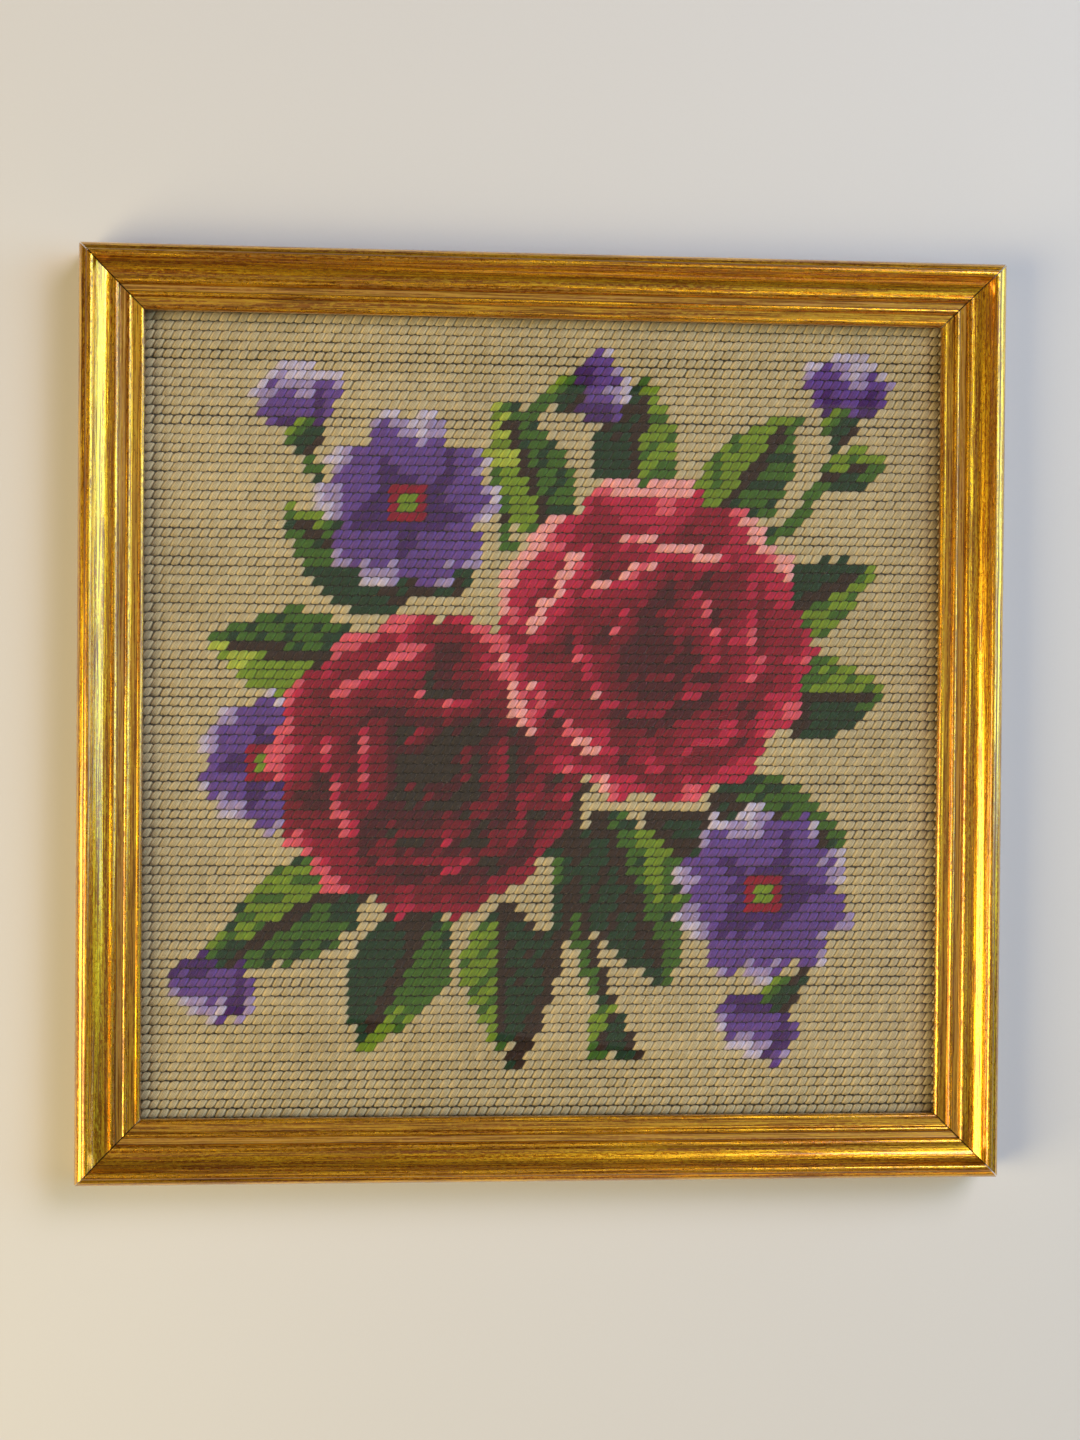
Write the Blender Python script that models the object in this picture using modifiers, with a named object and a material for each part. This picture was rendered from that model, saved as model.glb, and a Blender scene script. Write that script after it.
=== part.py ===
"""Needlepoint canvas panel in a gilt picture frame, lying on its back.

A square of wool tent stitch on ten-mesh canvas sits behind a pane of glass, and both
sit in the rebate of four mitred lengths of gilt moulding. The origin is under the
middle of the panel, on the surface it lies on. +X is the picture's right, +Y the
picture's top and +Z its face. All sizes below are in millimetres.
"""

import math

import bmesh
import bpy
from mathutils import Matrix, Vector

MM = 0.001

# The canvas: ten threads to the inch, and the number of stitches the frame leaves in view.
MESH_PITCH = 25.4 / 10
STITCHES_IN_VIEW = 85.6
SIGHT_SIZE = MESH_PITCH * STITCHES_IN_VIEW

# The moulding, seen in section.
RAIL_WIDTH = 17.0
REBATE_WIDTH = 5.75
REBATE_DEPTH = 8.0

# What lies in the rebate, and the play that every piece has to its neighbours.
PLAY = 0.3
GLASS_THICKNESS = 2.0
CANVAS_THICKNESS = 2.0
CANVAS_INSET = 0.5
CANVAS_EDGE_ROUNDING = 0.6
GLASS_EDGE_BEVEL = 0.2

REBATE_SIZE = SIGHT_SIZE + 2 * REBATE_WIDTH
GLASS_SIZE = REBATE_SIZE - 2 * PLAY
CANVAS_SIZE = REBATE_SIZE - 2 * CANVAS_INSET
GLASS_TOP = REBATE_DEPTH - PLAY
CANVAS_TOP = GLASS_TOP - GLASS_THICKNESS - PLAY

# The moulding's face from the sight edge outwards. Each stretch runs from the end of the
# one before to (across, height), and swells above its chord by the last figure, or is
# hollowed below it where that is negative. Heights are above the rebate's lip.
FACE_STRETCHES = (
    # name            across  height  swell
    ("sight edge",      0.00,   1.10,   0.00),
    ("sight rounding",  1.10,   1.85,   0.28),
    ("inner flat",      3.20,   2.20,   0.06),
    ("small bead",      4.60,   2.95,   0.48),
    ("bead quirk",      4.75,   2.75,   0.00),
    ("fillet",          6.30,   3.00,   0.00),
    ("step",            6.55,   3.75,   0.00),
    ("step nosing",     7.90,   4.25,   0.22),
    ("scoop",          12.75,   7.25,  -0.85),
    ("ridge",          14.70,   7.55,   0.62),
    ("ridge quirk",    14.85,   7.30,   0.00),
    ("outer round",    17.00,   4.40,   0.55),
)
ARC_STEP_DEGREES = 8.0

# Each rail is the same length of moulding, turned about the middle of the panel.
RAIL_TURNS = (
    ("frame_rail_bottom", 0.0),
    ("frame_rail_right", 90.0),
    ("frame_rail_top", 180.0),
    ("frame_rail_left", 270.0),
)


def clear_scene():
    for old in list(bpy.data.objects):
        bpy.data.objects.remove(old, do_unlink=True)


def new_collection(name):
    collection = bpy.data.collections.new(name)
    bpy.context.scene.collection.children.link(collection)
    return collection


def principled(name, colour, roughness, metallic=0.0, transmission=0.0):
    material = bpy.data.materials.new(name)
    material.use_nodes = True
    shader = material.node_tree.nodes["Principled BSDF"]
    shader.inputs["Base Color"].default_value = (*colour, 1.0)
    shader.inputs["Roughness"].default_value = roughness
    shader.inputs["Metallic"].default_value = metallic
    shader.inputs["Transmission Weight"].default_value = transmission
    return material


def arc_points(start, end, swell):
    """Points after start along the arc to end that stands swell off its chord."""
    start, end = Vector(start), Vector(end)
    if swell == 0.0:
        return [end]
    chord = end - start
    half = chord.length / 2
    radius = (half * half + swell * swell) / (2 * abs(swell))
    half_angle = math.asin(half / radius)
    outward = Vector((-chord.y, chord.x)).normalized() * math.copysign(1.0, swell)
    centre = (start + end) / 2 - outward * (radius - abs(swell))
    steps = max(2, round(math.degrees(2 * half_angle) / ARC_STEP_DEGREES))
    along = chord.normalized()
    points = []
    for step in range(1, steps):
        angle = half_angle * (2 * step / steps - 1)
        points.append(centre + radius * (math.sin(angle) * along + math.cos(angle) * outward))
    return points + [end]


def moulding_outline():
    """The moulding's section as (distance from the sight edge, height), in order round it."""
    outline = [Vector((0.0, REBATE_DEPTH))]
    for _name, across, height, swell in FACE_STRETCHES:
        outline += arc_points(outline[-1], (across, REBATE_DEPTH + height), swell)
    outline.append(Vector((RAIL_WIDTH, 0.0)))
    outline.append(Vector((REBATE_WIDTH, 0.0)))
    outline.append(Vector((REBATE_WIDTH, REBATE_DEPTH)))
    return outline


def extruded_section(outline, length):
    """A filled 2D curve of the outline, drawn out to the length and made a closed mesh."""
    curve = bpy.data.curves.new("moulding_section", "CURVE")
    curve.dimensions = "2D"
    curve.fill_mode = "BOTH"
    curve.extrude = length / 2 * MM
    spline = curve.splines.new("POLY")
    spline.points.add(len(outline) - 1)
    for point, (across, height) in zip(spline.points, outline):
        point.co = (across * MM, height * MM, 0.0, 1.0)
    spline.use_cyclic_u = True
    section = bpy.data.objects.new("moulding_section", curve)
    bpy.context.scene.collection.objects.link(section)
    evaluated = section.evaluated_get(bpy.context.evaluated_depsgraph_get())
    mesh = bpy.data.meshes.new_from_object(evaluated)
    bpy.data.objects.remove(section)
    bpy.data.curves.remove(curve)
    return mesh


def cut_mitres(solid):
    """Saw both ends of a rail at 45 degrees, half the play back from the corner lines."""
    for side in (1, -1):
        normal = Vector((side, 1.0, 0.0)).normalized()
        blade = -normal * PLAY / 2 * MM
        everything = solid.verts[:] + solid.edges[:] + solid.faces[:]
        cut = bmesh.ops.bisect_plane(
            solid, geom=everything, plane_co=blade, plane_no=normal, clear_outer=True
        )
        rim = [edge for edge in cut["geom_cut"] if isinstance(edge, bmesh.types.BMEdge)]
        bmesh.ops.edgenet_fill(solid, edges=rim)


def rail_mesh():
    """The bottom rail: its sight edge faces +Y and its back is the plane Z = 0."""
    outer_size = SIGHT_SIZE + 2 * RAIL_WIDTH
    mesh = extruded_section(moulding_outline(), outer_size)
    lay_down = Matrix(((0, 0, -1), (-1, 0, 0), (0, 1, 0))).to_4x4()
    mesh.transform(Matrix.Translation((0.0, -SIGHT_SIZE / 2 * MM, 0.0)) @ lay_down)
    solid = bmesh.new()
    solid.from_mesh(mesh)
    bmesh.ops.remove_doubles(solid, verts=solid.verts, dist=0.000001)
    cut_mitres(solid)
    bmesh.ops.recalc_face_normals(solid, faces=solid.faces)
    solid.to_mesh(mesh)
    solid.free()
    mesh.shade_smooth()
    mesh.set_sharp_from_angle(angle=math.radians(30.0))
    mesh.name = "frame_rail"
    return mesh


def add_rails(collection):
    gilt = principled("antique gilt", (0.60, 0.36, 0.06), 0.32, metallic=0.9)
    mesh = rail_mesh()
    mesh.materials.append(gilt)
    for name, turn in RAIL_TURNS:
        rail = bpy.data.objects.new(name, mesh)
        rail.rotation_euler.z = math.radians(turn)
        collection.objects.link(rail)


def add_sheet(collection, name, size, thickness, top, rounding, segments, material):
    """A flat square sheet with eased edges, its face at the given height."""
    bpy.ops.mesh.primitive_cube_add(size=1.0)
    sheet = bpy.context.object
    sheet.name = name
    sheet.data.name = name
    sheet.data.transform(Matrix.Diagonal((size * MM, size * MM, thickness * MM, 1.0)))
    sheet.location.z = (top - thickness / 2) * MM
    easing = sheet.modifiers.new("eased edges", "BEVEL")
    easing.width = rounding * MM
    easing.segments = segments
    easing.limit_method = "ANGLE"
    sheet.data.materials.append(material)
    for user in list(sheet.users_collection):
        user.objects.unlink(sheet)
    collection.objects.link(sheet)


def add_glass(collection):
    glass = principled("picture glass", (0.93, 0.97, 0.95), 0.03, transmission=1.0)
    add_sheet(
        collection, "glass_pane", GLASS_SIZE, GLASS_THICKNESS, GLASS_TOP,
        GLASS_EDGE_BEVEL, 1, glass,
    )


def add_canvas(collection):
    wool = principled("wool on canvas", (0.50, 0.42, 0.26), 0.95)
    add_sheet(
        collection, "needlepoint_canvas", CANVAS_SIZE, CANVAS_THICKNESS, CANVAS_TOP,
        CANVAS_EDGE_ROUNDING, 3, wool,
    )


def build():
    clear_scene()
    panel = new_collection("needlepoint_canvas_panel_in_picture_frame")
    add_rails(panel)
    add_glass(panel)
    add_canvas(panel)


build()
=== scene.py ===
"""A needlepoint panel under glass in a gilt frame, lying on a pale table.

Sizes are in metres unless a name ends in _mm. The panel lies on its back: +X is the
picture's right, +Y its top, and +Z comes out of its face.
"""

import math
import random

import bpy
from mathutils import Matrix, Vector


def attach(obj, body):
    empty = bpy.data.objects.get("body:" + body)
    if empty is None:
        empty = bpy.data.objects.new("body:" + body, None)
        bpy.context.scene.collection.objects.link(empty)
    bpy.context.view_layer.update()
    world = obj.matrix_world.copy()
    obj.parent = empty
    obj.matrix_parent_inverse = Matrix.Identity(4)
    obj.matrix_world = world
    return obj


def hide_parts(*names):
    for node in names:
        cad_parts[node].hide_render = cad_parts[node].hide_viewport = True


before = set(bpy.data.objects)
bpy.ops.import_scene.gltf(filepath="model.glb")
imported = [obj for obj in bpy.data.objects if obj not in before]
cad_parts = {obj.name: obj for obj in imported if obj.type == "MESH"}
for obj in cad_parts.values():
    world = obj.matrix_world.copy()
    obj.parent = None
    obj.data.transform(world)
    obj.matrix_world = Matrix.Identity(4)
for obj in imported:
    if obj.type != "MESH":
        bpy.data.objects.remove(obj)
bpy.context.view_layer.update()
MM = 0.001
scene = bpy.context.scene
scene.view_settings.view_transform = "Standard"


# The camera. It looks down on the panel's face as in the photograph, from a little to the
# left of the middle. Its turn and its distance are the ones that fit the frame's corners.
LENS_MM = 52.0
SENSOR_WIDTH_MM = 36.0
SIGHT_EDGE_HEIGHT = 9.4 * MM
TURN_DEGREES = Vector((0.675, -4.518, 0.435))
OPENING_FROM_LENS = Vector((1.69, -0.45, 566.58)) * MM

lens = bpy.data.cameras.new("over the panel")
lens.lens = LENS_MM
lens.sensor_width = SENSOR_WIDTH_MM
camera = bpy.data.objects.new("camera_over_panel", lens)
scene.collection.objects.link(camera)
face_down = Matrix.Diagonal((1.0, -1.0, -1.0))
aim = Matrix.Rotation(math.radians(TURN_DEGREES.length), 3, TURN_DEGREES.normalized()) @ face_down
place = aim.transposed() @ -OPENING_FROM_LENS + Vector((0.0, 0.0, SIGHT_EDGE_HEIGHT))
camera.matrix_world = Matrix.Translation(place) @ (aim.transposed() @ face_down).to_4x4()
scene.camera = camera


# The table and the light. The panel rests on a matt, off-white table top. A soft light
# hangs past its top right corner, a cool window is at the right and a warm lamp low at the
# left. Weak warm light comes from below the picture and from a patch of ceiling.
TABLE_HALF_SIZE = 3.0
TABLE_WHITES = (0.61, 0.59, 0.62, 1.0), (0.64, 0.62, 0.65, 1.0)
ROOM_TINT = (1.0, 0.72, 0.40, 1.0)
ROOM_STRENGTH = 0.125


def add_node(tree, kind, inputs=None, **settings):
    """A node, its settings made, and its inputs set, or linked where a socket is given."""
    node = tree.nodes.new(kind)
    for name, value in settings.items():
        setattr(node, name, value)
    for name, value in (inputs or {}).items():
        if isinstance(value, bpy.types.NodeSocket):
            tree.links.new(value, node.inputs[name])
        else:
            node.inputs[name].default_value = value
    return node


def output(tree, kind, inputs=None, **settings):
    """The first output of a new node."""
    return add_node(tree, kind, inputs, **settings).outputs[0]


def vector(tree, **parts):
    """A vector made of its X, Y and Z."""
    return output(tree, "ShaderNodeCombineXYZ", parts)


def sums(tree, operation, *values):
    """One sum of two or three numbers or sockets, in a shader or a geometry tree."""
    return output(tree, "ShaderNodeMath", dict(enumerate(values)), operation=operation)


def blend(tree, factor, first, second, way="MIX"):
    """Two colours mixed by a factor."""
    node = add_node(
        tree, "ShaderNodeMix", {0: factor, 6: first, 7: second},
        data_type="RGBA", blend_type=way,
    )
    return node.outputs[2]


def fade(tree, value, low, high, start=0.0, end=1.0):
    """start where value is low, end where it is high, and smooth between."""
    node = add_node(
        tree, "ShaderNodeMapRange",
        {"Value": value, "From Min": low, "From Max": high, "To Min": start, "To Max": end},
        interpolation_type="SMOOTHSTEP",
    )
    return node.outputs["Result"]


def noise(tree, where, scale, detail=2.0, roughness=0.5, stretch=(1.0, 1.0, 1.0), warp=0.0):
    """Cloudy noise, its grains drawn out along an axis where stretch is small there."""
    drawn = output(tree, "ShaderNodeVectorMath", {0: where, 1: stretch}, operation="MULTIPLY")
    return output(
        tree, "ShaderNodeTexNoise",
        {"Vector": drawn, "Scale": scale, "Detail": detail,
         "Roughness": roughness, "Distortion": warp},
    )


def new_material(name, **finish):
    """A material with one Principled shader, its plain values set on the sockets."""
    material = bpy.data.materials.new(name)
    material.use_nodes = True
    shader = material.node_tree.nodes["Principled BSDF"]
    for socket, value in finish.items():
        shader.inputs[socket.replace("_", " ")].default_value = value
    return material, material.node_tree, shader


def wire(tree, shader, **sockets):
    """Links sockets of the shader, such as Base_Color, to what varies over the surface."""
    for socket, source in sockets.items():
        tree.links.new(source, shader.inputs[socket.replace("_", " ")])


def bumps(tree, height, distance, strength):
    """Fine relief that is only shaded, for a shader's Normal."""
    return output(
        tree, "ShaderNodeBump", {"Height": height, "Distance": distance, "Strength": strength}
    )


def matt_table():
    """Off-white paint, faintly clouded, with a fine tooth."""
    material, tree, shader = new_material("matt_table")
    where = add_node(tree, "ShaderNodeTexCoord").outputs["Object"]
    cloud = noise(tree, where, 3.0, detail=3.0)
    tooth = noise(tree, where, 900.0, detail=2.0)
    wire(
        tree, shader, Base_Color=blend(tree, cloud, *TABLE_WHITES),
        Roughness=fade(tree, tooth, 0.2, 0.8, 0.6, 0.75),
        Normal=bumps(tree, tooth, 0.00002, 0.5),
    )
    return material


table_mesh = bpy.data.meshes.new("table_top")
side = TABLE_HALF_SIZE
table_mesh.from_pydata(
    [(-side, -side, 0.0), (side, -side, 0.0), (side, side, 0.0), (-side, side, 0.0)],
    [], [(0, 1, 2, 3)],
)
table_mesh.materials.append(matt_table())
table = bpy.data.objects.new("table_top", table_mesh)
scene.collection.objects.link(table)


def soft_light(name, position, size, power, colour):
    """A rectangle of light that faces the middle of the panel."""
    light = bpy.data.lights.new(name, "AREA")
    light.shape = "RECTANGLE"
    light.size, light.size_y = size
    light.energy = power
    light.color = colour
    lamp = bpy.data.objects.new(name, light)
    lamp.location = position
    lamp.rotation_euler = (-Vector(position)).to_track_quat("-Z", "Y").to_euler()
    scene.collection.objects.link(lamp)


for lamp_name, position, size, watts, tint in (
    ("light_upper_right", (0.90, 0.90, 1.30), (0.8, 0.8), 15.0, (1.0, 0.93, 0.96)),
    ("window_right", (1.00, 0.20, 0.60), (0.7, 1.2), 9.8, (0.44, 0.77, 1.0)),
    ("lamp_low_left", (-0.82, -0.30, 0.62), (0.62, 0.8), 11.0, (1.0, 0.85, 0.46)),
    ("light_below", (0.30, -1.00, 0.40), (0.6, 0.3), 0.7, (1.0, 0.66, 0.26)),
    ("ceiling_patch", (0.26, -0.02, 1.32), (0.60, 1.2), 0.5, (1.0, 0.90, 0.76)),
):
    soft_light(lamp_name, position, size, watts, tint)

room = bpy.data.worlds.new("pale_room")
room.use_nodes = True
room.node_tree.nodes["Background"].inputs["Color"].default_value = ROOM_TINT
room.node_tree.nodes["Background"].inputs["Strength"].default_value = ROOM_STRENGTH
scene.world = room


# The four lengths of moulding. They are pine, run to one section, cut at 45 degrees and
# nailed at the corners, then gilded over red bole, toned in the flats and rubbed.
SIGHT_SIZE_MM = 217.424
REBATE_DEPTH_MM = 8.0
REBATE_WIDTH_MM = 5.75
MOULDING_WIDTH_MM = 17.0
JOINT_GAP_MM = 0.3
SIDE_STEPS = 4
# How far inside an edge a value is still counted as lying on it, and where the face begins.
EDGE_MARGIN_MM = 0.01
FACE_START_MM = REBATE_DEPTH_MM + 0.5
# Each stretch ends at (distance from the sight edge, height over the rebate's lip) and
# swells off its chord by the last figure. A hollow has it negative.
FACE_STRETCHES_MM = (
    ("sight edge", 0.00, 1.10, 0.00),
    ("sight rounding", 1.10, 1.85, 0.28),
    ("inner flat", 3.20, 2.20, 0.06),
    ("small bead", 4.60, 2.95, 0.48),
    ("bead quirk", 4.75, 2.75, 0.00),
    ("fillet", 6.30, 3.00, 0.00),
    ("step", 6.55, 3.75, 0.00),
    ("step nosing", 7.90, 4.25, 0.22),
    ("scoop", 12.75, 7.25, -0.85),
    ("ridge", 14.70, 7.55, 0.62),
    ("ridge quirk", 14.85, 7.30, 0.00),
    ("outer round", 17.00, 4.40, 0.55),
)
RAIL_TURNS = {
    "frame_rail_bottom": 0.0,
    "frame_rail_right": 90.0,
    "frame_rail_top": 180.0,
    "frame_rail_left": 270.0,
}


def arc(start, end, swell, step_degrees=9.0):
    """Points after start on the arc to end that stands swell off its chord."""
    if swell == 0.0:
        return [end]
    chord = end - start
    half = chord.length / 2
    radius = (half * half + swell * swell) / (2 * abs(swell))
    half_angle = math.asin(half / radius)
    outward = Vector((-chord.y, chord.x)).normalized() * math.copysign(1.0, swell)
    centre = (start + end) / 2 - outward * (radius - abs(swell))
    steps = max(2, round(math.degrees(2 * half_angle) / step_degrees))
    angles = [half_angle * (2 * step / steps - 1) for step in range(1, steps)]
    along = chord.normalized()
    return [
        centre + radius * (math.sin(a) * along + math.cos(a) * outward) for a in angles
    ] + [end]


def moulding_section():
    """The section as a ring of edges: x is the distance from the sight edge, y the height."""
    ring = [Vector((0.0, REBATE_DEPTH_MM))]
    for _stretch, across, height, swell in FACE_STRETCHES_MM:
        ring += arc(ring[-1], Vector((across, REBATE_DEPTH_MM + height)), swell)
    side = ring[-1]
    foot = Vector((side.x, 0.0))
    ring += [side.lerp(foot, step / SIDE_STEPS) for step in range(1, SIDE_STEPS + 1)]
    ring += [
        Vector((REBATE_WIDTH_MM, 0.0)),
        Vector((REBATE_WIDTH_MM, REBATE_DEPTH_MM)),
    ]
    section = bpy.data.meshes.new("moulding_section")
    section.from_pydata([(point.x * MM, point.y * MM, 0.0) for point in ring], [], [])
    section.edges.add(len(ring))
    for edge in section.edges:
        edge.vertices = (edge.index, (edge.index + 1) % len(ring))
    round_section = section.attributes.new("round_section", "FLOAT", "POINT")
    walked = 0.0
    for index, point in enumerate(ring):
        walked += (point - ring[index - 1]).length * MM if index else 0.0
        round_section.data[index].value = walked
    return section


def new_tree(name, **sizes):
    """A geometry tree that takes and gives geometry, with a named input for each size."""
    tree = bpy.data.node_groups.new(name, "GeometryNodeTree")
    tree.interface.new_socket("Geometry", in_out="INPUT", socket_type="NodeSocketGeometry")
    for label, (kind, value) in sizes.items():
        socket = tree.interface.new_socket(
            label, in_out="INPUT", socket_type="NodeSocket" + kind
        )
        if value is not None:
            socket.default_value = value
    tree.interface.new_socket("Geometry", in_out="OUTPUT", socket_type="NodeSocketGeometry")
    return tree, add_node(tree, "NodeGroupInput").outputs


def end_tree(tree, geometry):
    """Gives the finished geometry out of the tree."""
    add_node(tree, "NodeGroupOutput", {"Geometry": geometry})


def store(tree, geometry, name, value, kind="FLOAT", domain="POINT"):
    """Keeps a value on the geometry under a name that the material reads."""
    return output(
        tree, "GeometryNodeStoreNamedAttribute",
        {"Geometry": geometry, "Name": name, "Value": value}, data_type=kind, domain=domain,
    )


def kept(tree, name):
    """A number that was stored on the geometry under this name."""
    return add_node(tree, "GeometryNodeInputNamedAttribute", {"Name": name}).outputs["Attribute"]


def made_by_tree(name, base, tree, **sizes):
    """The mesh that the tree makes from base, as a plain piece with no modifier left."""
    maker = bpy.data.objects.new(name + "_maker", base)
    scene.collection.objects.link(maker)
    work = maker.modifiers.new(tree.name, "NODES")
    work.node_group = tree
    for item in tree.interface.items_tree:
        if item.in_out == "INPUT" and item.name in sizes:
            work[item.identifier] = sizes[item.name]
    state = bpy.context.evaluated_depsgraph_get()
    made = maker.evaluated_get(state)
    mesh = bpy.data.meshes.new_from_object(made, preserve_all_data_layers=True, depsgraph=state)
    mesh.name = name
    # The base mesh leaves an empty slot in front of the material that the tree sets.
    if mesh.materials[0] is None:
        mesh.materials.pop(index=0)
    bpy.data.objects.remove(maker)
    piece = bpy.data.objects.new(name, mesh)
    scene.collection.objects.link(piece)
    return piece


def moulding_tree():
    """Runs the section along a rail, mitres both ends and turns the rail to its side."""
    tree, given = new_tree(
        "run_of_moulding",
        Half_sight=("Float", SIGHT_SIZE_MM / 2 * MM),
        Joint_setback=("Float", JOINT_GAP_MM / math.sqrt(2) * MM),
        Steps=("Int", 84),
        Turn=("Float", 0.0),
        Wander=("Float", 0.06 * MM),
        Wander_scale=("Float", 38.0),
        Gilt_edge=("Float", (REBATE_DEPTH_MM + EDGE_MARGIN_MM) * MM),
        Gilt=("Material", None),
        Pine=("Material", None),
    )
    where = output(tree, "GeometryNodeInputPosition")
    parts = add_node(tree, "ShaderNodeSeparateXYZ", {0: where}).outputs
    section = store(tree, given["Geometry"], "across", parts["X"])
    section = store(tree, section, "height", parts["Y"])
    section = output(tree, "GeometryNodeMeshToCurve", {"Mesh": section})
    run = output(
        tree, "GeometryNodeCurvePrimitiveLine", {"Start": (-1.0, 0.0, 0.0), "End": (1.0, 0.0, 0.0)}
    )
    run = output(tree, "GeometryNodeResampleCurve", {"Curve": run, "Count": given["Steps"]})
    run = store(tree, run, "along", parts["X"])
    swept = output(
        tree, "GeometryNodeCurveToMesh",
        {"Curve": run, "Profile Curve": section, "Fill Caps": True},
    )
    across, height, along = kept(tree, "across"), kept(tree, "height"), kept(tree, "along")
    reach = sums(tree, "ADD", given["Half_sight"], across)
    length = sums(tree, "MULTIPLY", along, sums(tree, "SUBTRACT", reach, given["Joint_setback"]))
    spot = vector(tree, X=length, Y=across, Z=given["Turn"])
    hand = output(
        tree, "ShaderNodeTexNoise",
        {"Vector": spot, "Scale": given["Wander_scale"], "Detail": 1.0},
    )
    lift = sums(tree, "MULTIPLY", sums(tree, "SUBTRACT", hand, 0.5), given["Wander"])
    on_face = sums(tree, "GREATER_THAN", height, FACE_START_MM * MM)
    raised = sums(tree, "MULTIPLY_ADD", lift, on_face, height)
    flat = vector(tree, X=length, Y=sums(tree, "MULTIPLY", reach, -1.0), Z=raised)
    rail = output(tree, "GeometryNodeSetPosition", {"Geometry": swept, "Position": flat})
    rail = store(tree, rail, "length_run", length)
    rail = store(tree, rail, "rail_number", given["Turn"])
    turned = vector(tree, Z=given["Turn"])
    rail = output(tree, "GeometryNodeTransform", {"Geometry": rail, "Rotation": turned})
    rail = output(tree, "GeometryNodeRealizeInstances", {"Geometry": rail})
    rail = output(tree, "GeometryNodeSetMaterial", {"Geometry": rail, "Material": given["Gilt"]})
    behind = sums(tree, "LESS_THAN", kept(tree, "height"), given["Gilt_edge"])
    outer_side = (MOULDING_WIDTH_MM - EDGE_MARGIN_MM) * MM
    inner = sums(tree, "LESS_THAN", kept(tree, "across"), outer_side)
    rail = output(
        tree, "GeometryNodeSetMaterial",
        {"Geometry": rail, "Selection": sums(tree, "MULTIPLY", behind, inner),
         "Material": given["Pine"]},
    )
    end_tree(tree, rail)
    return tree


THIN_LEAF = (0.44, 0.140, 0.001, 1.0)
FULL_LEAF = (1.0, 0.53, 0.016, 1.0)
BRIGHT_GRAINS = (1.0, 0.70, 0.040, 1.0)
DULL_PATCHES = (0.52, 0.235, 0.012, 1.0)
HAIR_LINES = (0.20, 0.055, 0.001, 1.0)
TAN_TONING = (0.47, 0.245, 0.060, 1.0)
BARE_BOLE = (0.24, 0.075, 0.010, 1.0)
# Painted shade for the narrow quirks.
QUIRK_PAINTED_SHADE = (0.07, 0.028, 0.008, 1.0)
SIDE_WASHES = (0.22, 0.12, 0.03, 1.0), (0.42, 0.26, 0.075, 1.0)
# Where the parts of the face start and end, in millimetres from the sight edge. A third
# figure is how softly the part ends.
SIGHT_ROUNDING_MM = (-0.2, 1.25)
INNER_FLAT_MM = (1.25, 3.1)
BEAD_MM = (3.3, 4.6, 0.2)
FILLET_MM = (4.75, 6.2)
NOSING_MM = (6.6, 8.1)
SCOOP_AND_RIDGE_MM = (7.9, 14.9)
RIDGE_MM = (12.9, 14.8)
QUIRKS_MM = (4.58, 4.82, 0.06), (6.20, 6.36, 0.05), (14.65, 14.92, 0.06)
# The washed outer side: below these heights, and past these distances.
SIDE_BELOW_MM = (12.6, 12.2)
SIDE_PAST_MM = (16.8, 16.95)


def read(tree, name):
    """In a material: a number that the tree stored on the mesh."""
    return add_node(tree, "ShaderNodeAttribute", attribute_name=name).outputs["Fac"]


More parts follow.
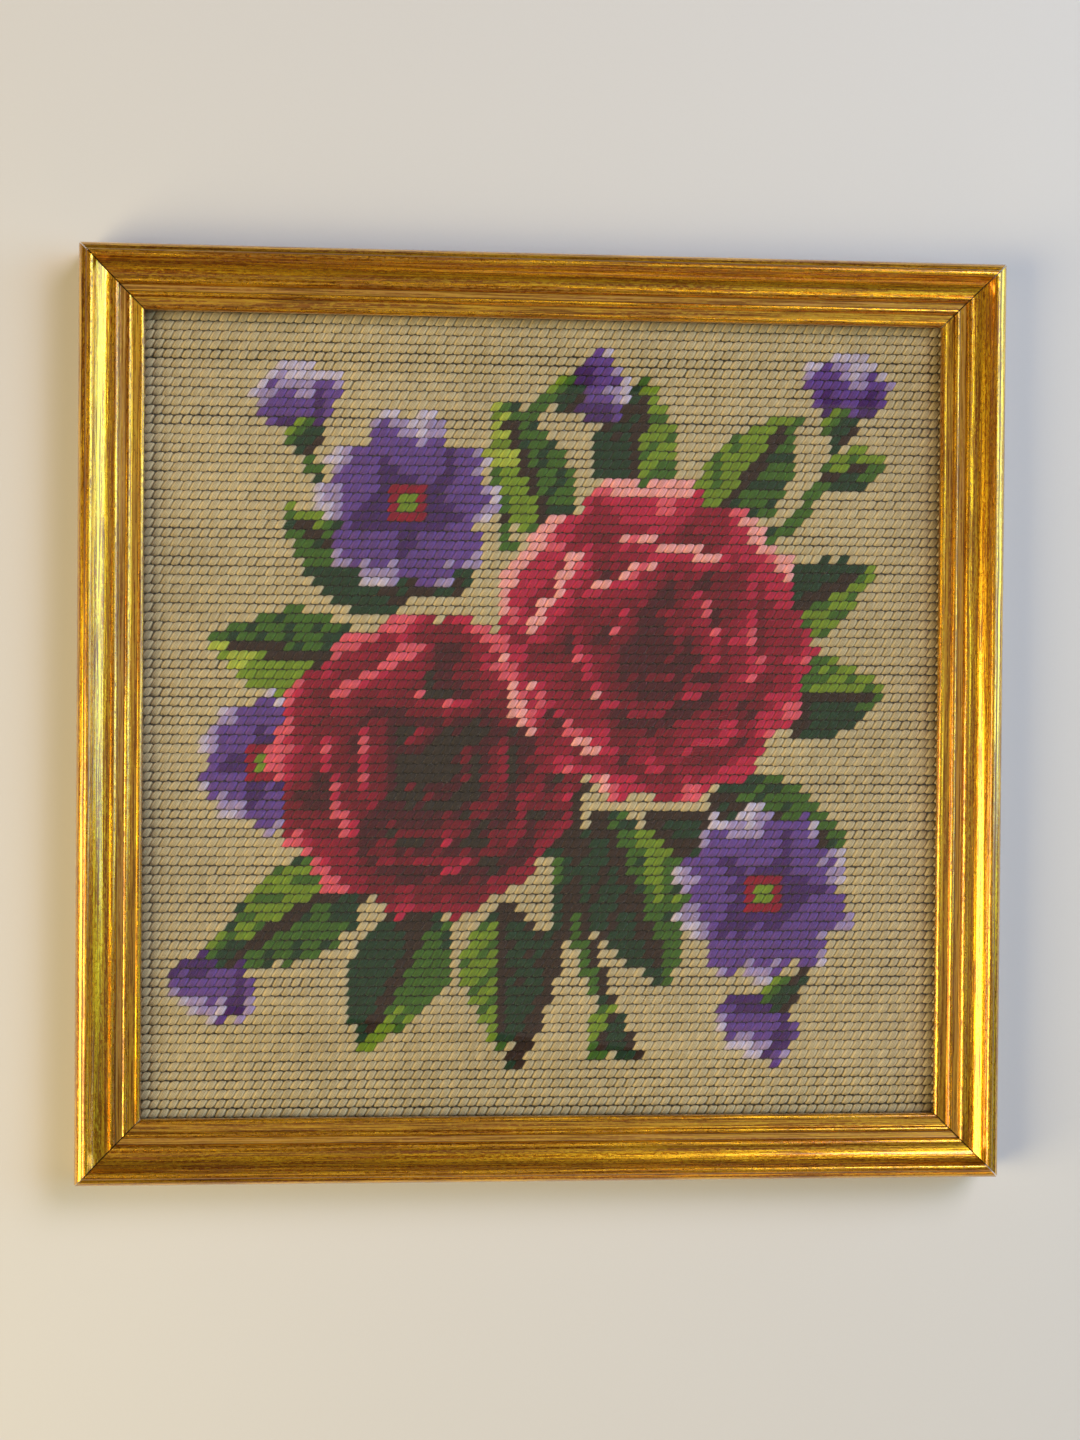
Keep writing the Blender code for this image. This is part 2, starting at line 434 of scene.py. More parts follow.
def antique_gilt():
    """Leaf over red bole: streaked in the scoop, toned tan in the flats, rubbed on the ridges."""
    material, tree, shader = new_material("antique_gilt", Coat_IOR=1.6, Coat_Roughness=0.12)
    across_mm = sums(tree, "MULTIPLY", read(tree, "across"), 1000.0)
    round_mm = sums(tree, "MULTIPLY", read(tree, "round_section"), 1000.0)
    along_mm = sums(tree, "MULTIPLY", read(tree, "length_run"), 1000.0)
    height_mm = sums(tree, "MULTIPLY", read(tree, "height"), 1000.0)
    own = sums(tree, "MULTIPLY", read(tree, "rail_number"), 37.0)
    leaf = vector(tree, X=along_mm, Y=round_mm, Z=own)

    streak = noise(
        tree, leaf, 1.0, detail=3.0, roughness=0.55, stretch=(0.020, 1.5, 1.0), warp=0.2
    )
    hair = noise(tree, leaf, 1.0, detail=3.0, roughness=0.6, stretch=(0.05, 2.8, 1.0))
    grains = noise(tree, leaf, 1.7, detail=3.0, roughness=0.7, stretch=(0.40, 1.35, 1.0))
    patches = noise(tree, leaf, 0.05, detail=2.0, stretch=(1.0, 3.0, 1.0))

    def band(start, end, soft=0.12):
        """1 between two distances from the sight edge, and 0 elsewhere."""
        rise = fade(tree, across_mm, start - soft, start + soft)
        fall = fade(tree, across_mm, end - soft, end + soft, 1.0, 0.0)
        return sums(tree, "MULTIPLY", rise, fall)

    def either(*masks):
        """The strongest of the masks."""
        total = masks[0]
        for mask in masks[1:]:
            total = sums(tree, "MAXIMUM", total, mask)
        return total

    def both(*masks):
        """The masks, and any plain strength, multiplied."""
        total = masks[0]
        for mask in masks[1:]:
            total = sums(tree, "MULTIPLY", total, mask)
        return total

    colour = blend(tree, fade(tree, streak, 0.38, 0.58), THIN_LEAF, FULL_LEAF)
    colour = blend(tree, fade(tree, grains, 0.50, 0.60, 0.0, 0.6), colour, BRIGHT_GRAINS)
    colour = blend(tree, fade(tree, patches, 0.45, 0.7, 0.0, 0.45), colour, DULL_PATCHES)
    colour = blend(tree, fade(tree, hair, 0.50, 0.60, 0.0, 0.75), colour, HAIR_LINES)

    flats = either(band(*INNER_FLAT_MM), band(*FILLET_MM))
    toned = either(band(*FILLET_MM), both(flats, 0.4))
    toned = both(toned, fade(tree, hair, 0.36, 0.58, 1.0, 0.25))
    colour = blend(tree, toned, colour, TAN_TONING)

    ridges = either(
        band(*SIGHT_ROUNDING_MM), band(*NOSING_MM), band(*RIDGE_MM), band(*BEAD_MM)
    )
    rubbed = both(ridges, fade(tree, grains, 0.51, 0.60), 0.8)
    lines = both(
        fade(tree, hair, 0.54, 0.64), fade(tree, patches, 0.35, 0.6, 0.2, 0.8),
        band(*SCOOP_AND_RIDGE_MM),
    )
    worn = either(rubbed, lines)
    colour = blend(tree, worn, colour, BARE_BOLE)

    # Painted shade: the narrow recessed quirks are darkened almost to black.
    quirks = either(*(band(*quirk) for quirk in QUIRKS_MM))
    colour = blend(tree, both(quirks, 0.85), colour, QUIRK_PAINTED_SHADE)

    side = both(fade(tree, height_mm, *SIDE_BELOW_MM), fade(tree, across_mm, *SIDE_PAST_MM))
    wash = blend(tree, fade(tree, streak, 0.35, 0.65), *SIDE_WASHES)
    colour = blend(tree, both(side, 0.9), colour, wash)

    dull = either(both(toned, 0.6), both(worn, 0.7), quirks, both(side, 0.5))
    rough = sums(tree, "MULTIPLY_ADD", grains, 0.24, 0.17)
    rough = sums(tree, "MULTIPLY_ADD", dull, 0.16, rough)
    relief = both(grains, sums(tree, "MULTIPLY_ADD", ridges, 0.7, 0.55))
    for pattern, height in ((streak, 0.7), (hair, 0.5), (worn, -0.25)):
        relief = sums(tree, "MULTIPLY_ADD", pattern, height, relief)
    calm = sums(tree, "MULTIPLY_ADD", flats, -0.6, 1.0)
    wire(
        tree, shader, Base_Color=colour, Roughness=rough,
        Metallic=sums(tree, "SUBTRACT", 1.0, dull),
        Coat_Weight=fade(tree, dull, 0.0, 1.0, 1.0, 0.1),
        Normal=bumps(tree, both(relief, calm), 0.00011, 0.9),
    )
    return material


PINE_WOODS = (0.50, 0.30, 0.13, 1.0), (0.70, 0.49, 0.27, 1.0)
PINE_PORES = (0.28, 0.15, 0.06, 1.0)


def raw_pine():
    """The moulding's back and rebate: planed pine, its grain along the rail."""
    material, tree, shader = new_material("raw_pine")
    where = vector(
        tree,
        X=read(tree, "length_run"),
        Y=read(tree, "round_section"),
        Z=read(tree, "rail_number"),
    )
    grain = noise(tree, where, 1.0, detail=3.0, stretch=(18.0, 900.0, 9.0), warp=0.4)
    pores = noise(tree, where, 1.0, detail=2.0, stretch=(150.0, 5200.0, 9.0))
    colour = blend(tree, fade(tree, grain, 0.3, 0.7), *PINE_WOODS)
    colour = blend(tree, fade(tree, pores, 0.6, 0.75, 0.0, 0.5), colour, PINE_PORES)
    wire(
        tree, shader, Base_Color=colour,
        Roughness=fade(tree, pores, 0.3, 0.7, 0.6, 0.8),
        Normal=bumps(tree, pores, 0.00006, 0.6),
    )
    return material


gilt, pine = antique_gilt(), raw_pine()
section = moulding_section()
run_of_moulding = moulding_tree()
for rail_name, turn in RAIL_TURNS.items():
    rail = made_by_tree(
        rail_name.replace("frame_rail", "gilt_rail"), section, run_of_moulding,
        Turn=math.radians(turn), Gilt=gilt, Pine=pine,
    )
    rail.data.shade_smooth()
    rail.data.set_sharp_from_angle(angle=math.radians(28.0))
    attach(rail, "root")
    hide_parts(rail_name)


# The glass. One square of clear 2 mm picture glass lies in the rebate, between the lip and
# the canvas. A little dust has settled on it. Its solid is kept as it is.
SPECK_RADII = (0.015, 0.022)
LINT_WIDTHS = (0.0015, 0.003)


def picture_glass():
    """Clear glass that lets lamps and soft light through to the wool, with dull dust on it."""
    material, tree, shader = new_material(
        "clear_picture_glass", Base_Color=(1.0, 1.0, 1.0, 1.0), Roughness=0.0, IOR=1.5,
        Transmission_Weight=1.0,
    )
    where = add_node(tree, "ShaderNodeTexCoord").outputs["Object"]
    cells = add_node(
        tree, "ShaderNodeTexVoronoi", {"Vector": where, "Scale": 130.0, "Randomness": 1.0}
    ).outputs
    speck = fade(tree, cells["Distance"], *SPECK_RADII, 1.0, 0.0)
    few = fade(tree, noise(tree, cells["Position"], 60.0), 0.56, 0.60)
    lint = noise(tree, where, 150.0, detail=1.0, stretch=(0.12, 1.0, 1.0), warp=2.5)
    lint = sums(tree, "ABSOLUTE", sums(tree, "SUBTRACT", lint, 0.5))
    lint = fade(tree, lint, *LINT_WIDTHS, 1.0, 0.0)
    lint = sums(tree, "MULTIPLY", lint, fade(tree, noise(tree, where, 34.0), 0.71, 0.74))
    dust = sums(tree, "MAXIMUM", sums(tree, "MULTIPLY", speck, few), lint)
    wire(tree, shader, Roughness=fade(tree, dust, 0.0, 1.0, 0.0, 0.55))
    clear = output(tree, "ShaderNodeBsdfTransparent")
    path = add_node(tree, "ShaderNodeLightPath").outputs
    passes = sums(tree, "MAXIMUM", path["Is Shadow Ray"], path["Is Diffuse Ray"])
    pane = output(tree, "ShaderNodeMixShader", {0: passes, 1: shader.outputs[0], 2: clear})
    tree.links.new(pane, tree.nodes["Material Output"].inputs["Surface"])
    return material


glass_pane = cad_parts["glass_pane"]
glass_pane.data.materials.clear()
glass_pane.data.materials.append(picture_glass())


# The canvas. Stiff single-thread cotton canvas, ten threads to the inch, starched and
# held flat behind the glass. Each thread runs over one and under the next.
MESH_PITCH = 25.4 / 10 * MM
CANVAS_THREADS = 90
CANVAS_MIDDLE = 4.12 * MM
# The radius of a three-sided section that is one wide.
THREE_SIDED_RADIUS = 0.58
COTTON_TANS = (0.09, 0.058, 0.030, 1.0), (0.20, 0.135, 0.072, 1.0)


def canvas_tree():
    """Lays the weft threads side by side, waves them over and under, and adds the warp."""
    tree, given = new_tree(
        "open_canvas_weave",
        Threads=("Int", CANVAS_THREADS),
        Pitch=("Float", MESH_PITCH),
        Thread_width=("Float", 0.88 * MM),
        Thread_depth=("Float", 0.44 * MM),
        Wave=("Float", 0.15 * MM),
        Middle=("Float", CANVAS_MIDDLE),
        Cotton=("Material", None),
    )
    half = sums(tree, "MULTIPLY", sums(tree, "SUBTRACT", given["Threads"], 1.0), 0.5)
    reach = sums(tree, "MULTIPLY", half, given["Pitch"])
    back = sums(tree, "MULTIPLY", reach, -1.0)
    section = output(
        tree, "GeometryNodeCurvePrimitiveCircle", {"Resolution": 3, "Radius": THREE_SIDED_RADIUS}
    )
    flattened = vector(tree, X=given["Thread_width"], Y=given["Thread_depth"], Z=1.0)
    section = output(
        tree, "GeometryNodeTransform",
        {"Geometry": section, "Rotation": (0.0, 0.0, math.pi / 2), "Scale": flattened},
    )
    step = vector(tree, Y=given["Pitch"])
    first = vector(tree, Y=back)
    rows = output(
        tree, "GeometryNodeMeshLine",
        {"Count": given["Threads"], "Start Location": first, "Offset": step},
    )
    index = output(tree, "GeometryNodeInputIndex")
    rows = store(tree, rows, "thread", index)
    line = output(
        tree, "GeometryNodeCurvePrimitiveLine",
        {"Start": vector(tree, X=back), "End": vector(tree, X=reach)},
    )
    line = output(tree, "GeometryNodeResampleCurve", {"Curve": line, "Count": given["Threads"]})
    line = store(tree, line, "crossing", index)
    weft = output(tree, "GeometryNodeInstanceOnPoints", {"Points": rows, "Instance": line})
    weft = output(tree, "GeometryNodeRealizeInstances", {"Geometry": weft})
    place = sums(tree, "ADD", kept(tree, "thread"), kept(tree, "crossing"))
    over = sums(tree, "PINGPONG", place, 1.0)
    over = sums(tree, "MULTIPLY_ADD", over, 2.0, -1.0)
    joined = add_node(tree, "GeometryNodeJoinGeometry")
    for turn, hand in ((0.0, 1.0), (math.pi / 2, -1.0)):
        lift = sums(tree, "MULTIPLY", sums(tree, "MULTIPLY", over, hand), given["Wave"])
        raised = vector(tree, Z=sums(tree, "ADD", lift, given["Middle"]))
        thread = output(tree, "GeometryNodeSetPosition", {"Geometry": weft, "Offset": raised})
        thread = output(tree, "GeometryNodeSetCurveNormal", {"Curve": thread}, mode="Z_UP")
        thread = output(
            tree, "GeometryNodeCurveToMesh",
            {"Curve": thread, "Profile Curve": section, "Fill Caps": True},
        )
        thread = output(
            tree, "GeometryNodeTransform", {"Geometry": thread, "Rotation": (0.0, 0.0, turn)}
        )
        tree.links.new(thread, joined.inputs[0])
    canvas = output(tree, "GeometryNodeRealizeInstances", {"Geometry": joined.outputs[0]})
    end_tree(tree, output(
        tree, "GeometryNodeSetMaterial", {"Geometry": canvas, "Material": given["Cotton"]}
    ))
    return tree


def canvas_cotton():
    """Tan, starched cotton with a dull, fibrous face."""
    material, tree, shader = new_material("canvas_cotton")
    where = add_node(tree, "ShaderNodeTexCoord").outputs["Object"]
    fibre = noise(tree, where, 4200.0, detail=2.0)
    wire(
        tree, shader, Base_Color=blend(tree, fibre, *COTTON_TANS),
        Roughness=fade(tree, fibre, 0.2, 0.8, 0.7, 0.95),
        Normal=bumps(tree, fibre, 0.00008, 0.7),
    )
    return material


canvas = made_by_tree(
    "open_canvas", bpy.data.meshes.new("open_canvas_start"), canvas_tree(),
    Cotton=canvas_cotton(),
)
canvas.data.shade_smooth()
canvas.data.set_sharp_from_angle(angle=math.radians(40.0))
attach(canvas, "root")
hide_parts("needlepoint_canvas")


# The wool. Every crossing of the canvas is covered by one slanting tent stitch of wool,
# rows worked across. The chart is the builder's own: two full blooms, violets and leaves.
STITCHES_ACROSS = 88
# Each dye, as the red, green and blue that a screen shows, out of 255.
WOOLS = {
    "ground": (192, 173, 136),
    "charcoal": (42, 34, 32),
    "maroon": (70, 10, 30),
    "crimson": (112, 4, 36),
    "red": (138, 5, 46),
    "rose": (180, 26, 68),
    "pink": (216, 86, 106),
    "blush": (238, 160, 160),
    "pine": (18, 52, 34),
    "leaf": (58, 96, 32),
    "moss": (112, 138, 36),
    "lime": (164, 176, 66),
    "brown": (44, 28, 26),
    "violet": (66, 30, 100),
    "purple": (98, 64, 142),
    "lilac": (160, 140, 186),
    "mauve": (196, 182, 206),
}
# The wools that each kind of form steps through, from its darkest to its lightest.
LADDERS = {
    "bright": "maroon maroon crimson crimson red red rose rose pink blush".split(),
    "deep": "charcoal charcoal maroon maroon crimson crimson red red rose pink".split(),
    "green": "brown pine pine leaf leaf moss moss lime".split(),
    "dark green": "brown pine pine pine leaf leaf moss moss".split(),
    "violets": "violet violet purple purple lilac mauve".split(),
    "stem": "brown brown pine leaf moss".split(),
    "eye": "maroon red moss".split(),
}
# The drawn light comes from the upper left, and shadows step away from it.
LIGHT_FROM = math.radians(125)
SHADOW_STEP = 0.9
HALF_CHART = STITCHES_ACROSS / 2
STEM_STEPS = 160
# Each ring of a bloom, from the outside in: petals, then the foot's distance from the
# middle, the length and the width as shares of the radius, then throat and rim tones.
BLOOM_RINGS = (
    (7, 0.16, 0.86, 0.80, 0.24, 0.74),
    (5, 0.08, 0.66, 0.82, 0.08, 0.70),
    (4, 0.02, 0.46, 0.60, 0.00, 0.62),
    (3, -0.02, 0.26, 0.34, -0.1, 0.40),
)
RING_TURN_DEGREES = 37
# The topmost petal of a ring lies this far round from the light, in radians.
OVERLAP_FROM = 2.2
# What is worked over the ground: {(column, row): [ladder, tone]}.
chart = {}


def near(cx, cy, reach):
    """Stitches within reach of a point, as column, row and offset from the point."""

    def span(middle):
        first = max(0, int(middle - reach + HALF_CHART))
        return range(first, min(STITCHES_ACROSS, int(middle + reach + HALF_CHART) + 2))

    for j in span(cy):
        for i in span(cx):
            yield i, j, i + 0.5 - HALF_CHART - cx, j + 0.5 - HALF_CHART - cy


def shadow(i, j, depth):
    """Darkens a stitch that is already drawn."""
    if (i, j) in chart:
        chart[i, j][1] -= depth


def form(cx, cy, aim, length, width, outline, tone, ladder, cast=0.22):
    """A petal or leaf from its foot at (cx, cy) to its tip at aim, with a shadow beside it.

    outline(along, across) is how wide it is there, and tone(along, across) how light. along
    goes from 0 to 1, and across from -1 to 1.
    """
    angle = math.radians(aim)
    ux, uy = math.cos(angle), math.sin(angle)
    mx, my = cx + ux * length / 2, cy + uy * length / 2
    sx, sy = -math.cos(LIGHT_FROM) * SHADOW_STEP, -math.sin(LIGHT_FROM) * SHADOW_STEP

    def inside(x, y):
        along = (x * ux + y * uy) / length + 0.5
        across = (-x * uy + y * ux) / (width / 2)
        return along, across, 0 <= along <= 1 and abs(across) <= outline(along, across)

    body = []
    for i, j, x, y in near(mx, my, max(length, width) / 2 + 3):
        along, across, within = inside(x, y)
        if within:
            body.append((i, j, along, across))
        elif inside(x - sx, y - sy)[2] or inside(x - 2 * sx, y - 2 * sy)[2]:
            shadow(i, j, cast)
        elif inside(x + sx, y + sy)[2]:
            shadow(i, j, cast * 0.5)
    for i, j, along, across in body:
        chart[i, j] = [ladder, tone(along, across)]


def petal(cx, cy, aim, foot, length, width, ladder, low, high, seed, notch=0.1, cast=0.22):
    """A notched petal, low in its throat and high at its rim, with creases and streaks."""
    angle = math.radians(aim)
    lit = math.cos(angle - LIGHT_FROM)
    tilt = math.sin(angle - LIGHT_FROM)
    lip = 0.24 if lit > -0.2 else 0.12

    def outline(along, across):
        tip = 1.0 - notch * (1 - min(1.0, abs(across) * 2.2))
        s = along / tip
        if s > 1:
            return -1
        return math.sqrt(max(0.0, 1 - (2 * s - 1) ** 2)) * (0.7 + 0.6 * s)

    def tone(along, across):
        crease = 0.09 * math.sin(4.0 * across + seed) * along
        rim = lip if along > 0.84 and abs(across) < 0.75 else 0.0
        streak = 0.12 if abs(math.sin(5.0 * across + 1.7 * seed)) > 0.86 else 0.0
        return (
            low + (high - low) * along ** 1.1 + 0.13 * lit * along
            + 0.16 * (across * tilt) + crease + rim + streak * along
        )

    fx, fy = cx + foot * math.cos(angle), cy + foot * math.sin(angle)
    form(fx, fy, aim, length, width, outline, tone, ladder, cast)


def bloom(cx, cy, radius, ladder, turn):
    """A full bloom, ring by ring from the outside in, each ring in its order of overlap."""
    for ring, (count, foot, length, width, low, high) in enumerate(BLOOM_RINGS):
        aims = [turn + 360 * k / count + ring * RING_TURN_DEGREES for k in range(count)]
        depth = [math.cos(math.radians(aim) - LIGHT_FROM + OVERLAP_FROM) for aim in aims]
        for k in sorted(range(count), key=depth.__getitem__):
            stretch = 1 + 0.07 * math.sin(5.1 * k + 2.3 * ring + turn)
            petal(
                cx, cy, aims[k], foot * radius, length * radius * stretch, width * radius,
                ladder, low, high, seed=k * 1.9 + ring * 0.7,
            )


def leaf(cx, cy, aim, length, width, ladder, light_half):
    """A toothed leaf with a dark midrib and veins, one half of it lighter."""
    facing = 0.1 * math.cos(math.radians(aim) - LIGHT_FROM)

    def outline(along, across):
        teeth = 0.10 * (abs((along * 7 + 0.3) % 1 - 0.5) * 2 - 0.5)
        return (math.sin(math.pi * min(1, along ** 0.8)) ** 0.9) * (1 + teeth)

    def tone(along, across):
        if abs(across) < 0.13 and along < 0.85:
            return 0.12
        vein = ((along * 5 - abs(across) * 1.1) % 1.0) < 0.26
        half = 0.84 if across * light_half > 0 else 0.46
        return half - (0.2 if vein else 0) + facing - 0.12 * (1 - along)

    form(cx, cy, aim, length, width, outline, tone, ladder)


def stem(bends, wide, tone):
    """A curved stem by three points. One that is two stitches wide has a lighter side."""
    (x0, y0), (x1, y1), (x2, y2) = bends
    for step in range(STEM_STEPS + 1):
        t = step / STEM_STEPS
        x = (1 - t) ** 2 * x0 + 2 * t * (1 - t) * x1 + t * t * x2
        y = (1 - t) ** 2 * y0 + 2 * t * (1 - t) * y1 + t * t * y2
        i, j = math.floor(x + HALF_CHART), math.floor(y + HALF_CHART)
        for d in range(wide):
            chart[i + d, j] = ["stem", tone + (0.3 if wide > 1 and d == 0 else 0.0)]


def viola(cx, cy, radius, turn):
    """An open violet: five petals round a small ringed eye."""
    for k in range(5):
        petal(
            cx, cy, turn + 360 * k / 5, 0.05 * radius, 0.98 * radius, 0.86 * radius,
            "violets", 0.16, 0.80, k * 2.1, notch=0.2, cast=0.3,
        )
    for i, j, x, y in near(cx, cy, 3):
        distance = math.hypot(x, y)
        if distance < 2.4:
            chart[i, j] = ["eye", 0.5 if distance > 1.2 else 0.9]


def bell(cx, cy, aim, size):
    """A half-open violet: three petals that spread from a green cup."""
    for spread, longer, wide, low, high, seed in (
        (-24, 1.0, 0.6, 0.0, 0.75, 1), (24, 1.0, 0.6, 0.05, 0.8, 4), (0, 1.05, 0.55, 0.1, 1.0, 2.5),
    ):
        petal(
            cx, cy, aim + spread, 0, size * longer, size * wide, "violets", low, high, seed,
            cast=0.25,
        )
    for i, j, x, y in near(cx, cy, 2):
        if math.hypot(x, y) < 1.8:
            chart[i, j] = ["green", 0.35 + 0.2 * (y - x)]


def draw_bouquet():
    """Draws the stems, then the leaves, the violets and the blooms, each over the last."""
    for run, wide, tone in (
        (((-1, -6), (3, -24), (9, -37)), 2, 0.35),
        (((3, -8), (2, -26), (-4, -38)), 2, 0.10),
        (((-13, 13), (-25, 21), (-26, 30)), 1, 0.7),
        (((-4, 18), (-8, 30), (2, 36)), 1, 0.7),
        (((22, 18), (32, 24), (32, 33)), 1, 0.7),
        (((-22, -14), (-33, -18), (-34, -26)), 1, 0.7),
        (((20, -14), (33, -24), (26, -31)), 1, 0.5),
    ):
        stem(run, wide, tone)
    for x, y, aim, length, width, ladder, light_half in (
        (-18, 5, 170, 19, 10, "green", 1),
        (-15, 12, 142, 17, 9, "dark green", -1),
        (-19, -16, 214, 19, 10, "green", -1),
        (-12, -20, 244, 18, 10, "dark green", 1),
        (-4, -20, 268, 16, 9, "green", -1),
        (6, -10, 292, 21, 11, "dark green", 1),
        (11, -10, 312, 21, 11, "green", -1),
        (18, -8, 338, 17, 9, "dark green", 1),
        (23, 2, 4, 15, 9, "green", 1),
        (23, 10, 28, 15, 8, "dark green", -1),
        (17, 20, 52, 17, 9, "green", 1),
        (9, 22, 84, 15, 9, "dark green", -1),
        (1, 19, 112, 17, 9, "green", 1),
        (-9, 13, 120, 12, 7, "dark green", 1),
        (30, 26, 20, 8, 5, "green", 1),
        (8, -31, 250, 7, 4, "green", -1),
    ):
        leaf(x, y, aim, length, width, ladder, light_half)
    viola(-15, 23, 10, 18)
    viola(24, -19, 10, 40)
    viola(-30, -5, 7.5, 0)
    for x, y, aim, size in (
        (-26, 30, 100, 8), (2, 35, 10, 7), (32, 32, 80, 8), (-34, -25, 250, 8), (26, -30, 235, 8),
    ):
        bell(x, y, aim, size)
    bloom(-12, -5, 17.0, "deep", 12)
    bloom(11, 8, 17.5, "bright", 40)


# How thin a stitch is drawn at its two holes, in front of the canvas and behind it.
FRONT_TIP = 0.22
BEHIND_TIP = 0.62
# The flat map OFBake, for baking colours on, is the face's X and Y times this.
MAP_SCALE = 4.3


def stitch_tree():
    """Lays a bowed length of yarn over each crossing, and a flatter one behind it."""
    tree, given = new_tree(
        "tent_stitches",
        Row_height=("Float", 1.62 * MM),
        Width=("Float", 2.90 * MM),
        Depth=("Float", 1.04 * MM),
        Hole_height=("Float", 4.10 * MM),
        Crest_height=("Float", 4.80 * MM),
        Lean=("Float", 0.56),
        Turn_play=("Float", math.radians(4.0)),
        Sides=("Int", 7),
        Steps=("Int", 6),
        Back_height=("Float", 2.60 * MM),
        Back_width=("Float", 1.7 * MM),
        Back_depth=("Float", 0.6 * MM),
        Back_hole_height=("Float", 4.36 * MM),
        Back_crest_height=("Float", 3.72 * MM),
        Back_lean=("Float", 1.0),
        Back_turn_play=("Float", 0.05),
        Back_sides=("Int", 3),
        Back_steps=("Int", 2),
        Seed=("Int", 1),
        Wool=("Material", None),
    )

    def random_value(low, high, offset):
        """A number of each stitch's own between low and high."""
        node = add_node(
            tree, "FunctionNodeRandomValue",
            {"Seed": sums(tree, "ADD", given["Seed"], offset)}, data_type="FLOAT",
        )
        node.inputs["Min"].default_value = low
        node.inputs["Max"].default_value = high
        return node.outputs["Value"]

    where = output(tree, "GeometryNodeInputPosition")
    spot = add_node(tree, "ShaderNodeSeparateXYZ", {0: where}).outputs

    def yarn(length, width, depth, low, crest, sides, steps, tip, lean):
        """One plump stitch up the row, bowed down to its holes and leant."""
        line = output(
            tree, "GeometryNodeCurvePrimitiveLine",
            {"Start": (0.0, -0.001, 0.0), "End": (0.0, 0.001, 0.0)},
        )
        count = sums(tree, "ADD", steps, 1)
        line = output(tree, "GeometryNodeResampleCurve", {"Curve": line, "Count": count})
        along = add_node(tree, "GeometryNodeSplineParameter").outputs["Factor"]
        swing = sums(tree, "MULTIPLY", sums(tree, "SUBTRACT", along, 0.5), math.pi)
        swell = sums(tree, "MAXIMUM", sums(tree, "COSINE", swing), 0.0)
        reach = sums(tree, "SINE", swing)
        up_row = sums(tree, "MULTIPLY", reach, sums(tree, "MULTIPLY", length, 0.5))
        rise = sums(tree, "SUBTRACT", crest, low)
        height = sums(tree, "MULTIPLY_ADD", sums(tree, "POWER", swell, 0.5), rise, low)
        bowed = vector(tree, Y=up_row, Z=height)
        bow = output(tree, "GeometryNodeSetPosition", {"Geometry": line, "Position": bowed})
        bow = store(tree, bow, "yarn_along", along)
        narrowed = sums(tree, "POWER", sums(tree, "ABSOLUTE", reach), 2.0)
        radius = sums(tree, "MULTIPLY_ADD", narrowed, tip - 1.0, 1.0)
        bow = output(tree, "GeometryNodeSetCurveRadius", {"Curve": bow, "Radius": radius})
        bow = output(tree, "GeometryNodeSetCurveNormal", {"Curve": bow}, mode="Z_UP")
        ring = output(
            tree, "GeometryNodeCurvePrimitiveCircle", {"Resolution": sides, "Radius": 0.5}
        )
        spread = sums(tree, "DIVIDE", sides, sums(tree, "SUBTRACT", sides, 1.0))
        ring = store(tree, ring, "yarn_round", sums(tree, "MULTIPLY", along, spread))
        seam = sums(tree, "SUBTRACT", sums(tree, "DIVIDE", math.pi, sides), math.pi / 2)
        seam_below = vector(tree, Z=seam)
        ring = output(tree, "GeometryNodeTransform", {"Geometry": ring, "Rotation": seam_below})
        # The middle of the section is pinched between its two strands.
        pinch = fade(tree, sums(tree, "ABSOLUTE", spot["X"]), 0.0, 0.3, 0.44, 1.45)
        pinched = sums(tree, "MULTIPLY", spot["Y"], pinch)
        plump = vector(
            tree,
            X=sums(tree, "MULTIPLY", spot["X"], width),
            Y=sums(tree, "MULTIPLY", pinched, depth),
        )
        ring = output(tree, "GeometryNodeSetPosition", {"Geometry": ring, "Position": plump})
        upright = output(
            tree, "GeometryNodeCurveToMesh",
            {"Curve": bow, "Profile Curve": ring, "Fill Caps": True},
        )
        shift = vector(tree, X=sums(tree, "MULTIPLY", spot["Y"], lean))
        return output(tree, "GeometryNodeSetPosition", {"Geometry": upright, "Offset": shift})

    slack = kept(tree, "row_slack")
    joined = add_node(tree, "GeometryNodeJoinGeometry")
    front = yarn(
        given["Row_height"], given["Width"], given["Depth"], given["Hole_height"],
        given["Crest_height"], given["Sides"], given["Steps"], FRONT_TIP, given["Lean"],
    )
    behind = yarn(
        given["Back_height"], given["Back_width"], given["Back_depth"],
        given["Back_hole_height"], given["Back_crest_height"], given["Back_sides"],
        given["Back_steps"], BEHIND_TIP, given["Back_lean"],
    )
    for shape, play, seed in (
        (front, given["Turn_play"], 3), (behind, given["Back_turn_play"], 11),
    ):
        turn = sums(tree, "MULTIPLY", random_value(-1.0, 1.0, seed), play)
        turned = vector(tree, Z=turn)
        narrow = sums(tree, "MULTIPLY", slack, -0.10)
        size = vector(
            tree,
            X=sums(tree, "ADD", random_value(0.94, 1.04, seed + 1), narrow),
            Y=sums(tree, "ADD", random_value(0.97, 1.02, seed + 2), narrow),
            Z=random_value(0.985, 1.01, seed + 3),
        )
        laid = output(
            tree, "GeometryNodeInstanceOnPoints",
            {"Points": given["Geometry"], "Instance": shape, "Rotation": turned, "Scale": size},
        )
        laid = store(
            tree, laid, "stitch_tone", random_value(0.0, 1.0, seed + 4), domain="INSTANCE"
        )
        tree.links.new(laid, joined.inputs[0])
    wool = output(tree, "GeometryNodeRealizeInstances", {"Geometry": joined.outputs[0]})
    flat = vector(
        tree,
        X=sums(tree, "MULTIPLY_ADD", spot["X"], MAP_SCALE, 0.5),
        Y=sums(tree, "MULTIPLY_ADD", spot["Y"], MAP_SCALE, 0.5),
    )
    wool = store(tree, wool, "OFBake", flat, kind="FLOAT2", domain="CORNER")
    end_tree(tree, output(
        tree, "GeometryNodeSetMaterial", {"Geometry": wool, "Material": given["Wool"]}
    ))
    return tree
